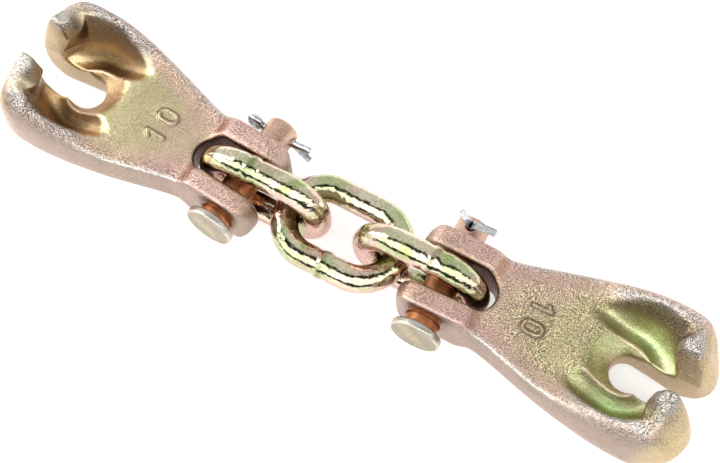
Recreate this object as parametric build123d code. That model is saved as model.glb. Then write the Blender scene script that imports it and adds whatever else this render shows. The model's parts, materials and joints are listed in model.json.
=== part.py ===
"""Three-link coupling chain with a pocketed clutch hook pinned to each end.

Everything is in millimetres. The chain lies straight along X with Z up, standing on z = 0.
The origin is under the middle of the whole footprint, close below the middle link. Each hook
is modelled once in its own frame, with +X running from the clevis pin towards the horns, Y
across and Z up, and is then placed.
"""

from math import acos, asin, atan2, cos, degrees, hypot, radians, sin
import os

from build123d import *

# Chain: nominal 3/8 in (10 mm) link.
WIRE_D = 10.0
LINK_INNER_LENGTH = 31.0
LINK_INNER_WIDTH = 16.0
WELD_PROUD = 0.45
WELD_LENGTH = 3.2
WELD_EDGE_R = 0.4
LEFT_WELD_AT = -4.5
RIGHT_WELD_AT = 5.0
MIDDLE_ROLL = 2.0
MIDDLE_DROP = 2.0

# Clevis pin.
PIN_D = 11.5
PIN_HEAD_D = 17.8
PIN_HEAD_T = 3.0
PIN_HEAD_CHAMFER = 0.8
PIN_LENGTH = 43.0
PIN_CHAMFER = 1.2
PIN_BORE_CLEARANCE = 0.08
LEFT_HEAD_GAP = 2.0
RIGHT_HEAD_GAP = 3.6

# Split pin, bent up from half-round wire.
SPLIT_HOLE_D = 3.4
SPLIT_HOLE_FROM_END = 4.0
SPLIT_WIRE_R = 1.5
SPLIT_HALF_GAP = 0.06
SPLIT_EYE_R = 2.0
SPLIT_NECK_R = 1.7
SPLIT_BEND_R = 2.2
SPLIT_LEG = 7.0
SPLIT_START = 6.2
LEFT_SPLAY = (16.0, 34.0)
RIGHT_SPLAY = (25.0, 84.0)
RIGHT_SPLIT_TURN = -90.0

# Gaps between neighbours: the chain lies a little slack, its middle link sunk between the outer two.
LINK_GAP = 0.3
LEFT_YAW = -5.0
RIGHT_YAW = 1.5
PIN_GAP = 1.1

# Clutch hook, clevis end.
EAR_END = 12.6
EAR_HALF_WIDTH = 15.6
EAR_HALF_HEIGHT = 10.5
EAR_CORNER_R = 7.0
EAR_BOSS_END = 12.0
EAR_FADE_R = 5.0
CLEVIS_GAP = 14.0
CLEVIS_DEPTH = 18.4

# Clutch hook, plate outline as half widths.
PLATE_HALF_T = 6.5
NECK_AT = 22.0
NECK_HALF_WIDTH = 16.6
WAIST_AT = 45.0
WAIST_HALF_WIDTH = 23.4
WIDEST_AT = 72.0
WIDEST_HALF_WIDTH = 27.2
SHOULDER_AT = 88.0
SHOULDER_HALF_WIDTH = 23.0
HORN_END = 95.0
HORN_END_HALF_WIDTH = 10.0

# Clutch hook, horn end: the ridges rise to the horn tips beside the slot, then slope down to the end.
RISE_FROM = 42.0
RIDGE_MIDDLE = (62.0, 11.5)
TIP_Z = 20.7
TIP_FROM = 77.0
TIP_TO = 85.5
TIP_SLOPE_FOOT = (92.0, 8.0)
TIP_SLOPE_END_Z = -2.0
TIP_SIDE_Y = 8.0
CREST_Y = 23.0
CREST_Z = 14.7
ROOF_EDGE_Z = 7.0
HORN_BOTTOM = -15.4
HORN_BOTTOM_FROM = 82.0
BELLY = (62.0, -10.0)
TOE_R = 9.0

# Clutch hook, slot and bed for the chain.
CHAIN_SLOT_WIDTH = 12.0
CHAIN_SLOT_CENTRE = 67.0
BED_START = 48.0
BED_RAMP_END = 62.0
BED_FLOOR = -3.0
BED_END = 80.5
BED_END_LEAN = 3.0
BED_HALF_WIDTH = 20.0
BED_CORNER_R = 9.0
BED_FLOOR_R = 5.0
LEAD_IN_TOP_R = 15.5

# Raised size numerals: the nominal chain size.
NUMERAL_AT = 33.5
NUMERAL_HEIGHT = 8.0
NUMERAL_WIDTH = 5.0
NUMERAL_STROKE = 1.2
NUMERAL_PITCH = 7.6
FLAG_LENGTH = 3.0
FLAG_TURN = 40.0
NUMERAL_PROUD = 0.45

CLEAR = 60.0

# Where things lie.
wire_r = WIRE_D / 2
bend_r = (LINK_INNER_WIDTH + WIRE_D) / 2
half_straight = (LINK_INNER_LENGTH - LINK_INNER_WIDTH) / 2
chain_z = bend_r + wire_r
link_end_x = (LINK_INNER_LENGTH + WIRE_D) / 2
play = LINK_INNER_WIDTH / 2 - wire_r - LINK_GAP
overlap_x = (play**2 - MIDDLE_DROP**2) ** 0.5
outer_link_x = link_end_x + half_straight + overlap_x
pin_x = outer_link_x + LINK_INNER_LENGTH / 2 - PIN_D / 2 - PIN_GAP
toe_x = HORN_END - TOE_R
toe_z = HORN_BOTTOM + TOE_R
hook_pitch = degrees(asin((chain_z - TOE_R) / hypot(toe_x, toe_z)) - atan2(-toe_z, toe_x))


def chain_link(weld_at):
    """A welded link in the XZ plane, centred, its weld on the +Z bar."""
    bar = Rot(Y=90) * Cylinder(wire_r, 2 * half_straight)
    bend = Rot(X=90) * Torus(bend_r, wire_r)
    half = Box(2 * CLEAR, CLEAR, CLEAR, align=(Align.MIN, Align.CENTER, Align.CENTER))
    end = Pos(half_straight, 0, 0) * (bend & half)
    link = Pos(0, 0, bend_r) * bar + Pos(0, 0, -bend_r) * bar
    link = link + end + Rot(Z=180) * end
    bead = Cylinder(wire_r + WELD_PROUD, WELD_LENGTH)
    bead = fillet(bead.edges(), WELD_EDGE_R)
    return link + Pos(weld_at, 0, bend_r) * Rot(Y=90) * bead


def clevis_pin(split_turn):
    """A headed pin along +Y, the underside of its head at y = 0, cross drilled for a split pin."""
    head = Cylinder(PIN_HEAD_D / 2, PIN_HEAD_T, align=(Align.CENTER, Align.CENTER, Align.MAX))
    head = chamfer(head.edges().group_by(Axis.Z)[0], PIN_HEAD_CHAMFER)
    shank = Cylinder(PIN_D / 2, PIN_LENGTH, align=(Align.CENTER, Align.CENTER, Align.MIN))
    shank = chamfer(shank.edges().group_by(Axis.Z)[-1], PIN_CHAMFER)
    hole = Rot(Y=90) * Cylinder(SPLIT_HOLE_D / 2, 2 * PIN_D)
    pin = head + shank - Pos(0, 0, PIN_LENGTH - SPLIT_HOLE_FROM_END) * hole
    return Rot(Y=split_turn) * Rot(X=-90) * pin


def split_leg(side, splay):
    """One half-round leg along +X in the XZ plane, on one side of the split, bent outwards at its end."""
    height = side * SPLIT_HALF_GAP
    run = Line((-SPLIT_START, height), (SPLIT_START, height))
    bend = JernArc(start=run @ 1, tangent=(1, 0), radius=SPLIT_BEND_R, arc_size=side * splay)
    tip_way = Vector(cos(radians(splay)), side * sin(radians(splay)))
    tip = Line(bend @ 1, bend @ 1 + tip_way * SPLIT_LEG)
    return half_round(run + bend + tip, (-SPLIT_START, height), (1, 0), side)


def half_round(flat_path, start, way, side):
    """Sweep a half-round wire along a path drawn in XY, then stand it up in the XZ plane."""
    section_plane = Plane(origin=(*start, 0), x_dir=(-way[1], way[0], 0), z_dir=(*way, 0))
    disc = Circle(SPLIT_WIRE_R) & Pos(side * SPLIT_WIRE_R, 0) * Rectangle(2 * SPLIT_WIRE_R, 4 * SPLIT_WIRE_R)
    return Rot(X=90) * sweep(section_plane * disc, path=flat_path)


def split_eye():
    """The eye: a neck curving out on each side of the split and a round loop between them."""
    turn = degrees(acos((SPLIT_HALF_GAP + SPLIT_NECK_R) / (SPLIT_EYE_R + SPLIT_NECK_R)))
    start = (-SPLIT_START, SPLIT_HALF_GAP)
    neck = JernArc(start=start, tangent=(-1, 0), radius=SPLIT_NECK_R, arc_size=-turn)
    loop = JernArc(start=neck @ 1, tangent=neck % 1, radius=SPLIT_EYE_R, arc_size=180 + 2 * turn)
    far_neck = JernArc(start=loop @ 1, tangent=loop % 1, radius=SPLIT_NECK_R, arc_size=-turn)
    return half_round(neck + loop + far_neck, start, (-1, 0), -1)


def split_pin(splay, split_turn):
    """A split pin through the pin's hole, its eye towards -X before it is turned about Y."""
    pin = split_leg(1, splay[0]) + split_leg(-1, splay[1]) + split_eye()
    return Rot(Y=split_turn) * pin


def plan_blank():
    """The hook seen from above, as a tall prism."""
    outline = [
        Line((-EAR_END, 0), (-EAR_END, EAR_HALF_WIDTH - EAR_CORNER_R)),
        JernArc((-EAR_END, EAR_HALF_WIDTH - EAR_CORNER_R), (0, 1), EAR_CORNER_R, -90),
        Line((EAR_CORNER_R - EAR_END, EAR_HALF_WIDTH), (EAR_BOSS_END, EAR_HALF_WIDTH)),
        Spline(
            (EAR_BOSS_END, EAR_HALF_WIDTH),
            (NECK_AT, NECK_HALF_WIDTH),
            (WAIST_AT, WAIST_HALF_WIDTH),
            (WIDEST_AT, WIDEST_HALF_WIDTH),
            tangents=((1, 0), (1, 0)),
        ),
        Spline(
            (WIDEST_AT, WIDEST_HALF_WIDTH),
            (SHOULDER_AT, SHOULDER_HALF_WIDTH),
            (HORN_END, HORN_END_HALF_WIDTH),
            tangents=((1, 0), (0, -1)),
        ),
        Line((HORN_END, HORN_END_HALF_WIDTH), (HORN_END, 0)),
        Line((HORN_END, 0), (-EAR_END, 0)),
    ]
    half = make_face(Curve() + outline)
    return extrude(half + mirror(half, about=Plane.XZ), CLEAR, both=True)


def side_blank():
    """The hook seen from the side, as a prism running across: round ears, plate and deep horn end."""
    ear_edge = (EAR_END**2 - EAR_HALF_HEIGHT**2) ** 0.5
    top = [
        (EAR_BOSS_END, EAR_HALF_HEIGHT),
        (EAR_BOSS_END + EAR_FADE_R, PLATE_HALF_T),
        (RISE_FROM, PLATE_HALF_T),
        RIDGE_MIDDLE,
        (TIP_FROM, TIP_Z),
        (TIP_TO, TIP_Z),
        TIP_SLOPE_FOOT,
        (HORN_END, TIP_SLOPE_END_Z),
        (HORN_END, toe_z),
    ]
    under = [
        (toe_x, HORN_BOTTOM),
        (HORN_BOTTOM_FROM, HORN_BOTTOM),
        BELLY,
        (RISE_FROM, -PLATE_HALF_T),
        (EAR_BOSS_END + EAR_FADE_R, -PLATE_HALF_T),
        (EAR_BOSS_END, -EAR_HALF_HEIGHT),
        (-ear_edge, -EAR_HALF_HEIGHT),
    ]
    outline = [
        Polyline((-ear_edge, EAR_HALF_HEIGHT), *top),
        RadiusArc(top[-1], under[0], TOE_R),
        Polyline(*under),
        ThreePointArc(under[-1], (-EAR_END, 0), (-ear_edge, EAR_HALF_HEIGHT)),
    ]
    face = make_face(Curve() + outline)
    return extrude(Plane.XZ * face, CLEAR, both=True)


def roof():
    """The hook seen along its length, as a prism: highest beside the slot and falling to both sides."""
    half = [(0, TIP_Z), (TIP_SIDE_Y, TIP_Z), (CREST_Y, CREST_Z), (WIDEST_HALF_WIDTH, ROOF_EDGE_Z)]
    half = half + [(CLEAR, ROOF_EDGE_Z), (CLEAR, -CLEAR)]
    mirrored = [(-y, z) for y, z in reversed(half[1:])]
    profile = Polyline(*mirrored, *half, close=True)
    return extrude(Plane.YZ * make_face(profile), 2 * CLEAR, both=True)


def link_bed():
    """Cutter for the bed that a flat-lying link sinks into, ramped at its clevis end."""
    top_z = 2 * TIP_Z
    ramp_slope = (BED_RAMP_END - BED_START) / (PLATE_HALF_T - BED_FLOOR)
    profile = Polyline(
        (BED_START - ramp_slope * (top_z - PLATE_HALF_T), top_z),
        (BED_RAMP_END, BED_FLOOR),
        (BED_END, BED_FLOOR),
        (BED_END + BED_END_LEAN, top_z),
        close=True,
    )
    bed = extrude(Plane.XZ * make_face(profile), BED_HALF_WIDTH, both=True)
    corners = bed.edges().filter_by(lambda e: (e % 0.5).Z**2 > 0.5 and e.center().X > BED_RAMP_END)
    bed = fillet(corners, BED_CORNER_R)
    floor_edges = bed.edges().group_by(Axis.Z)[0]
    return fillet(floor_edges.filter_by(lambda e: e.center().X > BED_RAMP_END), BED_FLOOR_R)


def chain_slot():
    """Cutter for the slot that the upright link drops through, with its conical lead-in."""
    radius = CHAIN_SLOT_WIDTH / 2
    throat = Pos(CHAIN_SLOT_CENTRE, 0, 0) * Cylinder(radius, CLEAR)
    gap = Pos(CHAIN_SLOT_CENTRE, 0, 0) * Box(
        CLEAR, CHAIN_SLOT_WIDTH, CLEAR, align=(Align.MIN, Align.CENTER, Align.CENTER)
    )
    depth = PLATE_HALF_T - BED_FLOOR
    cone = Cone(radius, LEAD_IN_TOP_R, depth, align=(Align.CENTER, Align.CENTER, Align.MIN))
    return throat + gap + Pos(CHAIN_SLOT_CENTRE, 0, BED_FLOOR) * cone


def clevis_slot():
    """Cutter for the clevis gap, round at its inner end."""
    radius = CLEVIS_GAP / 2
    centre = CLEVIS_DEPTH - radius
    plan = Pos(centre - CLEAR, 0) * Rectangle(2 * CLEAR, CLEVIS_GAP) + Pos(centre, 0) * Circle(radius)
    return extrude(plan, CLEAR, both=True)


def numerals():
    """The raised figures 1 and 0, reading across the plate."""
    one = Rectangle(NUMERAL_STROKE, NUMERAL_HEIGHT)
    flag = Rot(Z=FLAG_TURN) * Rectangle(FLAG_LENGTH, NUMERAL_STROKE)
    flag = Pos(-NUMERAL_STROKE, NUMERAL_HEIGHT / 2 - NUMERAL_STROKE) * flag
    ring = SlotOverall(NUMERAL_HEIGHT, NUMERAL_WIDTH, rotation=90)
    hole = SlotOverall(NUMERAL_HEIGHT - 2 * NUMERAL_STROKE, NUMERAL_WIDTH - 2 * NUMERAL_STROKE, rotation=90)
    figures = Pos(-NUMERAL_PITCH / 2, 0) * (one + flag) + Pos(NUMERAL_PITCH / 2, 0) * (ring - hole)
    raised = extrude(figures, 2 * NUMERAL_PROUD)
    return Pos(NUMERAL_AT, 0, PLATE_HALF_T - NUMERAL_PROUD) * Rot(Z=-90) * raised


def hook():
    """The forged hook, pin axis at the origin."""
    body = plan_blank() & side_blank() & roof()
    body = body - link_bed() - chain_slot() - clevis_slot()
    bore = Rot(X=90) * Cylinder(PIN_D / 2 + PIN_BORE_CLEARANCE, CLEAR)
    return body - bore + numerals()


def end_pieces(side, yaw, head_gap, splay, split_turn):
    """The hook, pin and split pin of one end, placed; side is -1 for left and 1 for right."""
    name = "left" if side < 0 else "right"
    seat = Pos(side * pin_x, 0, chain_z) * Rot(Z=yaw)
    under_head = -(EAR_HALF_WIDTH + head_gap)
    split_y = under_head + PIN_LENGTH - SPLIT_HOLE_FROM_END
    return {
        f"{name}_hook": seat * Rot(Z=90 - 90 * side) * Rot(Y=hook_pitch) * hook(),
        f"{name}_clevis_pin": seat * Pos(0, under_head, 0) * clevis_pin(split_turn),
        f"{name}_split_pin": seat * Pos(0, split_y, 0) * split_pin(splay, split_turn),
    }


def all_pieces():
    """Every piece, with the middle link's centre above the origin."""
    lay_flat = Pos(0, 0, chain_z - MIDDLE_DROP) * Rot(X=MIDDLE_ROLL + 90)
    pieces = {
        "middle_link": lay_flat * chain_link(0),
        "left_link": Pos(-outer_link_x, 0, chain_z) * chain_link(LEFT_WELD_AT),
        "right_link": Pos(outer_link_x, 0, chain_z) * chain_link(RIGHT_WELD_AT),
    }
    pieces |= end_pieces(-1, LEFT_YAW, LEFT_HEAD_GAP, LEFT_SPLAY, 0)
    pieces |= end_pieces(1, RIGHT_YAW, RIGHT_HEAD_GAP, RIGHT_SPLAY, RIGHT_SPLIT_TURN)
    return pieces


os.makedirs("parts", exist_ok=True)
pieces = all_pieces()
box = Compound(list(pieces.values())).bounding_box()
to_origin = Pos(-box.center().X, -box.center().Y, -box.min.Z)
for node, shape in pieces.items():
    export_step(to_origin * shape, f"parts/{node}.step")
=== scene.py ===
import json
from math import cos, pi, radians, sin

import bpy
import numpy as np
from mathutils import Matrix, Vector


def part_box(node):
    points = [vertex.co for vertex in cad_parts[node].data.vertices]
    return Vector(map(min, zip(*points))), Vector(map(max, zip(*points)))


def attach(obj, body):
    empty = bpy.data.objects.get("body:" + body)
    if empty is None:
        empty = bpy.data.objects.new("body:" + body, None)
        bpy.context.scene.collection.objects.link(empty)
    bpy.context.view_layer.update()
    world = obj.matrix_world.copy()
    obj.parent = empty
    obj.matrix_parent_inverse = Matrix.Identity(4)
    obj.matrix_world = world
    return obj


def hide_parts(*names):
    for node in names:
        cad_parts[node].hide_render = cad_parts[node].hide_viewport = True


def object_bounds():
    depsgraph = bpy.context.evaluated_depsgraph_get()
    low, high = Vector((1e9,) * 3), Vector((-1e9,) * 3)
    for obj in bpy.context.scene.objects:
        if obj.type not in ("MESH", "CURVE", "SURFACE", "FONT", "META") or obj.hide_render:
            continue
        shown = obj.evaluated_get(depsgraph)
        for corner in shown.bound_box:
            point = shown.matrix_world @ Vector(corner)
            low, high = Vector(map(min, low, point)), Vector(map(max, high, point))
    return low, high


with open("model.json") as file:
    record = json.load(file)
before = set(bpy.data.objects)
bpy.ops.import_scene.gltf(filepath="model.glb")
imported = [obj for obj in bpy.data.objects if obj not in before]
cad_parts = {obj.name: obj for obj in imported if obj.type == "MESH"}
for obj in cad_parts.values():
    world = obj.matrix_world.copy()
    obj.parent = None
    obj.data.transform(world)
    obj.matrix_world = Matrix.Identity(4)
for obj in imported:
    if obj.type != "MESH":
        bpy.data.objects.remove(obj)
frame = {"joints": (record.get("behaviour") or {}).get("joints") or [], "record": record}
cad_low, cad_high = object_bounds()

# Two forged clutch hooks, pinned to the ends of three chain links, all in yellow zinc chromate.

MM = 0.001

# Camera: looks at the middle of the chain. Metres, and the lens in millimetres.
CAMERA_AZIMUTH = radians(-57.2)
CAMERA_ELEVATION = radians(65.66)
CAMERA_ROLL = radians(-3.86)
CAMERA_DISTANCE = 0.66
CAMERA_LENS = 98.7
CAMERA_SHIFT = 0.0251
TARGET_HEIGHT = 0.018

# Hook, in millimetres from its pin axis: u towards the horns, v across, w up.
EAR_END = 12.45
EAR_HALF_HEIGHT = 10.4
EAR_HALF_WIDTH = 15.5
EAR_CORNER_R = 6.5
EAR_STRAIGHT_TO = 4.0
EAR_ROUND = 1.5
EAR_ROUND_TO = 16.0
EAR_FADE_FROM = 11.0
EAR_FADE_TO = 18.0
CLEVIS_HALF_GAP = 7.0
CLEVIS_END = 18.4
CLEVIS_ROUND = 2.4
BORE_R = 5.95
BORE_ROUND = 0.6
PLATE_HALF_T = 6.5
PLATE_UNEVEN = 0.10
PLATE_ALONG = (14, 24)
OUTLINE_UNEVEN = 0.12
OUTLINE = (
    (12, 15.5),
    (22, 16.5),
    (45, 23.0),
    (60, 25.8),
    (72, 26.7),
    (82, 25.8),
    (89, 21.9),
    (93.2, 16),
    (94.7, 9),
    (94.8, 0),
)
SMALLEST_EDGE_R = 2.0
SIDE_ROUND = 1.2
RIM_ROUND = 1.0

# Hook: the horn ridges. Pairs are the (from, to) of a smooth change along u, or across v.
RISE_FROM = 40.0
RISE_TO = 77.0
HORN_TOP = 14.5
TIP_RISE = 6.0
TIP_ALONG = (62, 78)
TIP_ACROSS = (8, 23)
HORN_SHOULDER = 0.0
HORN_END_SHOULDER = -7.5
CREST_INSET = 5.8
CREST_END_INSET = 10.5
END_POWER = 1.25
END_TURN = (0.35, 0.95)
END_ALONG = (62, 74)
RIDGE_FLANK = 9.0
PLATE_SHOULDER = 4.6
SHOULDER_POWER = 2.2
HORN_BOTTOM = -15.3
BOTTOM_FROM = 44.0
BOTTOM_TO = 86.0
TOE_R = 10.5
UNDER_EDGE_R = 10.0

# Hook: pockets, recess and slot.
GROOVE_R = 13.0
GROOVE_CENTRE = 65.0
GROOVE_FLOOR = -3.0
GROOVE_RAMP_TO = 64.0
GROOVE_RAMP_SLOPE = 0.62
GROOVE_RAMP_ROUND = 6.0
GROOVE_OUTER_WALL = 4.3
GROOVE_INNER_WALL = 6.5
BEAK_WALL = 7.0
BEAK_REACH = 17.0
BEAK_STEEP = 7.0
BEAK_OVERHANG = 0.42
BEAK_FOOT = 3.0
BEAK_TURN = (0.45, 0.95)
BEAK_ALONG = (70, 78)
BEAK_ACROSS = (10, 17)
SLOT_CENTRE = 67.0
SLOT_HALF_WIDTH = 6.0
SLOT_NARROWS = 0.7
SLOT_NARROWS_ALONG = (72, 84)
SLOT_FLARE = 2.2
SLOT_FLARE_ALONG = (89, 97)
SLOT_LEAN = 0.1
SLOT_LEAN_ALONG = (74, 80)
RECESS_SLOPE = 1.04
RECESS_STRETCH = 1.35
RECESS_ROUND = 3.0
FOLD_ROUND = 1.6
FOLD_WIDTH = 1.6
SLOT_ROUND = 1.2
TIP_ROUND = 4.0
TIP_ROUND_ALONG = (83, 92)

# Hook: raised size numerals.
NUMERAL_AT = 33.5
NUMERAL_HEIGHT = 8.0
NUMERAL_WIDTH = 5.0
NUMERAL_STROKE = 1.3
NUMERAL_PITCH = 7.6
NUMERAL_PROUD = 0.7
NUMERAL_FLAG = 2.4
NUMERAL_FLAG_WAY = (-0.77, -0.64)
NUMERAL_EDGE = 0.3
NUMERAL_OUTLINE_AT = 0.25
NUMERAL_OUTLINE_WIDTH = 0.35

# Chain links.
WIRE_R = 4.97
CAD_WIRE_R = 5.0
BEND_R = 13.0
HALF_STRAIGHT = 7.5
WELD_PROUD = 0.42
WELD_HALF_LENGTH = 1.7
WELD_SPREAD = (0.35, 1.0)
WELD_PINCH = 0.22
WELD_PINCH_AT = 2.6
WELD_PINCH_WIDTH = 0.8
LINK_CLEARANCE = 0.12
BEND_THINNING = 0.10
LINK_WAVES = 0.08
LINK_RIPPLES = 0.03

# Clevis pins.
PIN_R = 5.72
PIN_HEAD_R = 8.85
PIN_HEAD_T = 3.0
PIN_LENGTH = 43.0
PIN_HEAD_ROUND = 1.1
PIN_END_ROUND = 1.9
PIN_FILLET = 0.5
PIN_ROOT = 1
PIN_UNEVEN = 0.03
SPLIT_HOLE_R = 1.7
SPLIT_HOLE_FROM_END = 4.0

# Split pins.
SPLIT_WIRE_R = 1.45
SPLIT_START = 6.2
SPLIT_EYE_R = 2.0
SPLIT_NECK_R = 1.7
SPLIT_BEND_R = 2.2
SPLIT_LEG = 7.0
SPLIT_LEG_CURL = 3
SPLIT_HALF_GAP = 0.08
SPLIT_STEP = 0.25
SPLIT_FLAT_PROUD = 0.12
SPLIT_END_SHRINK = 0.8

# Grids that the solid fields are read on.
HOOK_VOXEL = 0.45
HOOK_GRID_LOW = (-EAR_END - 0.8, -29.6, HORN_BOTTOM - 0.8)
HOOK_GRID_HIGH = (97.4, 29.6, HORN_TOP + TIP_RISE + 1.2)
PIN_VOXEL = 0.34
PIN_GRID_LOW = (-PIN_HEAD_R - 0.7, -PIN_HEAD_T - 0.7, -PIN_HEAD_R - 0.7)
PIN_GRID_HIGH = (PIN_HEAD_R + 0.7, PIN_LENGTH + 0.9, PIN_HEAD_R + 0.7)
RELAX_SHARE = 0.5
RELAX_MOVE = 0.3
FLATTEST_SLOPE = 0.05
STEEPEST = 6.0
OPEN_AIR = 40.0

# Soft noise on the shapes, as (bump size in millimetres, seed).
OUTLINE_LUMPS = (16, 5)
PLATE_LUMPS = (11, 3)
PIN_LUMPS = (6, 21)
CREST_LUMPS = (8, 31)


# ---------------------------------------------------------------- small maths

def ramp(low, high, x):
    """0 below low, 1 above high, smooth between."""
    t = np.clip((x - low) / (high - low), 0, 1)
    return t * t * (3 - 2 * t)


def smooth_max(a, b, k):
    """The larger of a and b, rounded where they meet; k is how wide the rounding is."""
    h = np.clip(0.5 + 0.5 * (a - b) / k, 0, 1)
    return b + (a - b) * h + k * h * (1 - h)


def smooth_min(a, b, k):
    """The smaller of a and b, rounded where they meet."""
    return -smooth_max(-a, -b, k)


def lumps(p, scale, seed, waves=7):
    """Smooth seeded unevenness, about -1 to 1, whose bumps are about scale across. p is (..., 3)."""
    shortest, longest, height = 0.7, 1.4, 0.8
    rng = np.random.default_rng(seed)
    total = np.zeros(p.shape[:-1])
    for _ in range(waves):
        way = rng.normal(size=3)
        way *= pi / scale * rng.uniform(shortest, longest) / np.linalg.norm(way)
        total += np.sin(p @ way + rng.uniform(0, 2 * pi))
    return total / waves**0.5 * height


def mixed(a, b, t):
    """Colours a and b mixed by t, one value a point."""
    return a + (b - a) * t[:, None]


def colour(red, green, blue):
    """An sRGB colour, 0 to 255, as linear light."""
    c = np.array((red, green, blue)) / 255
    return np.where(c <= 0.04045, c / 12.92, ((c + 0.055) / 1.055) ** 2.4)


# ---------------------------------------------------------------- solid fields to meshes

def net_points(f):
    """The middle of the surface's crossings of each grid cell, and the number of each cell's point or -1."""
    cells = tuple(n - 1 for n in f.shape)
    total = np.zeros(cells + (3,))
    count = np.zeros(cells)
    for axis in range(3):
        others = [i for i in range(3) if i != axis]
        for a, b in ((0, 0), (1, 0), (0, 1), (1, 1)):
            start = [slice(0, n) for n in cells]
            start[others[0]] = slice(a, cells[others[0]] + a)
            start[others[1]] = slice(b, cells[others[1]] + b)
            end = list(start)
            end[axis] = slice(1, cells[axis] + 1)
            f0, f1 = f[tuple(start)], f[tuple(end)]
            hit = (f0 < 0) != (f1 < 0)
            share = np.where(hit, f0 / np.where(hit, f0 - f1, 1), 0)
            where = [0.0, 0.0, 0.0]
            where[others[0]], where[others[1]] = a, b
            for i in range(3):
                total[..., i] += hit * (share if i == axis else where[i])
            count += hit
    used = count > 0
    number = np.full(cells, -1)
    number[used] = np.arange(used.sum())
    return np.argwhere(used) + total[used] / count[used][:, None], number


def net_quads(inside, number):
    """A quad round every grid edge that crosses the surface, facing out of the solid."""
    shape = inside.shape
    quads = []
    for axis, (i, j) in enumerate(((1, 2), (2, 0), (0, 1))):
        f0 = np.take(inside, np.arange(shape[axis] - 1), axis)
        f1 = np.take(inside, np.arange(1, shape[axis]), axis)
        at = np.argwhere(f0 != f1)
        low_side = (at[:, i] > 0) & (at[:, j] > 0)
        high_side = (at[:, i] < shape[i] - 1) & (at[:, j] < shape[j] - 1)
        at = at[low_side & high_side]
        ring = []
        for a, b in ((1, 1), (0, 1), (0, 0), (1, 0)):
            cell = at.copy()
            cell[:, i] -= a
            cell[:, j] -= b
            ring.append(number[tuple(cell.T)])
        ring = np.stack(ring, 1)
        solid_first = f0[tuple(at.T)]
        ring[~solid_first] = ring[~solid_first][:, ::-1]
        quads.append(ring)
    return np.concatenate(quads)


def surface_nets(field, low, high, voxel):
    """Points and quads on the zero surface of field, one point in each grid cell that it crosses."""
    axes = [np.arange(a, b + voxel, voxel) for a, b in zip(low, high)]
    f = field(np.stack(np.meshgrid(*axes, indexing="ij"), -1))
    points, number = net_points(f)
    return points * voxel + np.array(low), net_quads(f < 0, number)


def slope(field, p, step=0.02):
    """The gradient of field at each point."""
    parts = []
    for axis in range(3):
        shift = np.zeros(3)
        shift[axis] = step
        parts.append((field(p + shift) - field(p - shift)) / (2 * step))
    return np.stack(parts, -1)


def relaxed(field, points, quads, rounds=3):
    """Evens out the net and puts its points on the surface again; returns points and outward normals."""
    ends = np.concatenate([quads[:, [k, (k + 1) % 4]] for k in range(4)])
    for k in range(rounds):
        near = np.zeros_like(points)
        seen = np.zeros(len(points))
        np.add.at(near, ends[:, 0], points[ends[:, 1]])
        np.add.at(seen, ends[:, 0], 1)
        if k < rounds - 1:
            points = points + RELAX_SHARE * (near / np.maximum(seen, 1)[:, None] - points)
        for _ in range(2):
            g = slope(field, points)
            size = (g**2).sum(-1)
            move = (field(points) / np.maximum(size, FLATTEST_SLOPE))[:, None] * g
            points = points - np.clip(move, -RELAX_MOVE, RELAX_MOVE)
    g = slope(field, points)
    return points, g / np.maximum(np.linalg.norm(g, axis=1), 1e-9)[:, None]


def mesh_object(name, points, faces, place, tint, grain=None):
    """A smooth mesh from millimetre points, moved by the matrix place, with each point's colour and grain."""
    moved = points @ np.array(place.to_3x3()).T * MM + np.array(place.translation)
    mesh = bpy.data.meshes.new(name)
    mesh.vertices.add(len(moved))
    mesh.vertices.foreach_set("co", moved.astype(np.float32).ravel())
    sides = faces.shape[1]
    mesh.loops.add(faces.size)
    mesh.loops.foreach_set("vertex_index", faces.astype(np.int32).ravel())
    mesh.polygons.add(len(faces))
    mesh.polygons.foreach_set("loop_start", np.arange(0, faces.size, sides, dtype=np.int32))
    mesh.polygons.foreach_set("use_smooth", np.ones(len(faces), bool))
    mesh.update(calc_edges=True)
    mesh.validate()
    layer = mesh.color_attributes.new("tint", "FLOAT_COLOR", "POINT")
    grain = np.ones(len(tint)) if grain is None else grain
    rgba = np.concatenate([np.clip(tint, 0, 1), grain[:, None]], 1)
    layer.data.foreach_set("color", rgba.astype(np.float32).ravel())
    piece = bpy.data.objects.new(name, mesh)
    bpy.context.scene.collection.objects.link(piece)
    return piece


# ---------------------------------------------------------------- hook shape

class Plan:
    """A value for every (u, v) of the hook seen from above, read back by bilinear look-up."""

    STEP = 0.25
    LOW = np.array((-14.0, -31.0))
    HIGH = np.array((99.0, 31.0))

    def __init__(self):
        self.u = np.arange(self.LOW[0], self.HIGH[0], self.STEP)
        self.v = np.arange(self.LOW[1], self.HIGH[1], self.STEP)
        self.uu, self.vv = np.meshgrid(self.u, self.v, indexing="ij")
        self.flat = np.stack([self.uu, self.vv, np.zeros_like(self.uu)], -1)

    def read(self, values, u, v):
        """The values between the plan's own points, at any u and v."""
        a = np.clip((u - self.LOW[0]) / self.STEP, 0, len(self.u) - 1.001)
        b = np.clip((v - self.LOW[1]) / self.STEP, 0, len(self.v) - 1.001)
        i, j = a.astype(int), b.astype(int)
        a, b = a - i, b - j
        low = values[i, j] * (1 - b) + values[i, j + 1] * b
        high = values[i + 1, j] * (1 - b) + values[i + 1, j + 1] * b
        return low * (1 - a) + high * a


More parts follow.
